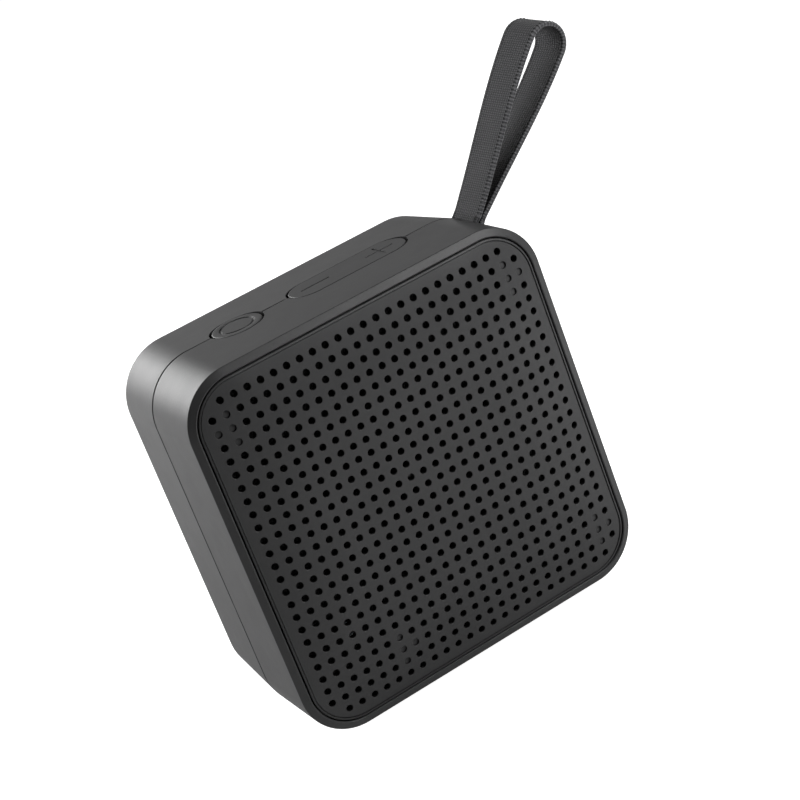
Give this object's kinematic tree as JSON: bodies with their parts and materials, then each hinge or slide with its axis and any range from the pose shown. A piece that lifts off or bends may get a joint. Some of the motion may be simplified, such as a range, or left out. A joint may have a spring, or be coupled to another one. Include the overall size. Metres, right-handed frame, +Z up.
{
  "type": "shower speaker",
  "caption": "Small square water-resistant speaker with a domed perforated front, top buttons, a webbing hanging loop at one corner and a covered charge port.",
  "frame": {"origin": "centre of the foot pad's underside, at mid depth of the case", "axes": "+X to the right and +Y to the back as seen facing the grille, +Z up"},
  "size_m": [0.1144, 0.043, 0.1188],
  "materials": {
    "shell": "fine matt moulding texture, charcoal",
    "grille": "fine matt moulding texture, charcoal",
    "silicone": "matt charcoal silicone",
    "webbing": "woven charcoal webbing",
    "steel": "bright zinc-plated steel",
    "coated": "matt black coated steel",
    "ferrite": "dull sintered ferrite",
    "cone": "matt black moulded cone",
    "gloss": "gloss black",
    "rubber": "matt black",
    "spider": "resin-dipped cloth",
    "coil": "copper-coloured film and wire",
    "board": "green solder mask",
    "cell": "silver-grey laminated pouch",
    "foam": "dark closed-cell foam",
    "lens": "clear moulded light pipe",
    "lead": "wire insulation"
  },
  "bodies": {
    "case": {"grille_panel": "grille", "front_shell": "shell", "rear_shell": "shell", "case_seal": "rubber", "foot_pad": "rubber", "button_bracket": "shell", "button_board": "board", "tact_switch_power": "steel", "tact_switch_minus": "steel", "tact_switch_plus": "steel", "strap_tail": "webbing", "strap_pin": "steel", "charge_socket": "steel", "main_board": "board", "radio_module": "steel", "battery_cell": "cell", "battery_pad": "foam", "microphone": "coated", "status_led": "lens", "driver_basket": "coated", "driver_gasket": "foam", "driver_terminal": "board", "surround": "rubber", "spider": "spider", "top_plate": "steel", "magnet": "ferrite", "yoke": "steel", "case_screw_1": "steel", "case_screw_2": "steel", "case_screw_3": "steel", "case_screw_4": "steel", "driver_screw_1": "coated", "driver_screw_2": "coated", "driver_screw_3": "coated", "driver_screw_4": "coated", "board_screw_1": "steel", "board_screw_2": "steel", "bracket_screw_1": "steel", "bracket_screw_2": "steel", "button_ribbon": "coil", "speaker_lead": "lead", "battery_lead": "lead"},
    "power": {"power_button": "silicone"},
    "rocker": {"volume_rocker": "silicone"},
    "strap": {"strap_loop": "webbing"},
    "flap": {"port_flap": "silicone"},
    "cone_assembly": {"cone": "cone", "dust_cap": "gloss", "voice_coil": "coil"}
  },
  "joints": [
    {"name": "power_press", "type": "slide", "parent": "case", "child": "power", "axis": [0, 0, -1], "range_m": [0, 0.0005], "stiffness_N_per_m": 1500},
    {"name": "volume_rock", "type": "hinge", "parent": "case", "child": "rocker", "pos_m": [0.0093, 0.00105, 0.08275], "axis": [0, 1, 0], "range_deg": [-2, 2], "stiffness_Nm_per_rad": 0.5},
    {"name": "strap_swing", "type": "hinge", "parent": "case", "child": "strap", "pos_m": [0.03914, -0.0029, 0.08586], "axis": [0, 1, 0], "range_deg": [-25, 25]},
    {"name": "flap_hinge", "type": "hinge", "parent": "case", "child": "flap", "pos_m": [0.04176, 0.01397, 0.01925], "axis": [-0.0536, 0.9986, 0], "range_deg": [0, 105]},
    {"name": "cone_travel", "type": "slide", "parent": "case", "child": "cone_assembly", "axis": [0, 1, 0], "range_m": [-0.001, 0.001], "stiffness_N_per_m": 1000, "deforming": ["surround", "spider"]}
  ]
}
